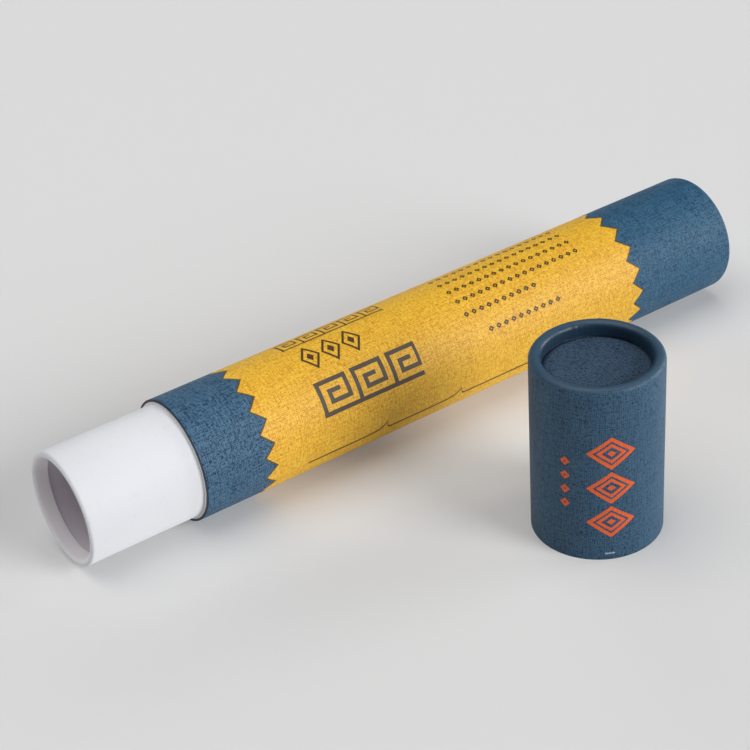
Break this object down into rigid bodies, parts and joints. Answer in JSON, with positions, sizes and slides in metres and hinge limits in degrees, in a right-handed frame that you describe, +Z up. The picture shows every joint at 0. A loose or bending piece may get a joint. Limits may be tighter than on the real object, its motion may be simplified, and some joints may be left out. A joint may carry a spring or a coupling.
{
  "type": "cardboard mailing tube",
  "caption": "Round cardboard tube with a white inner neck, curled rims, a yellow field with zigzag ends and a push-on cap that stands beside it.",
  "frame": {"origin": "on the floor, midway between the ends of the tube and between the tube and the cap", "axes": "+X along the tube from its open neck to its base, -Y towards the cap, +Z up"},
  "size_m": [0.214, 0.1058, 0.051],
  "materials": {
    "blue_paper": "linen-embossed, satin",
    "cap_paper": "linen-embossed, satin",
    "blue_disc": "linen-embossed, satin",
    "yellow_print": "printed linen-embossed paper",
    "white_board": "smooth white lining",
    "wound_board": "matt, pale cut ends"
  },
  "bodies": {
    "tube": {"body_tube": "wound_board", "body_wrap": "blue_paper", "yellow_field": "yellow_print", "base_disc": "blue_disc", "neck_tube": "white_board"},
    "cap": {"cap_tube": "wound_board", "cap_wrap": "cap_paper", "cap_disc": "blue_disc"}
  },
  "joints": [
    {"name": "cap_lift", "type": "slide", "parent": "tube", "child": "cap", "axis": [0, 0, 1], "range_m": [0, 0.033]}
  ]
}
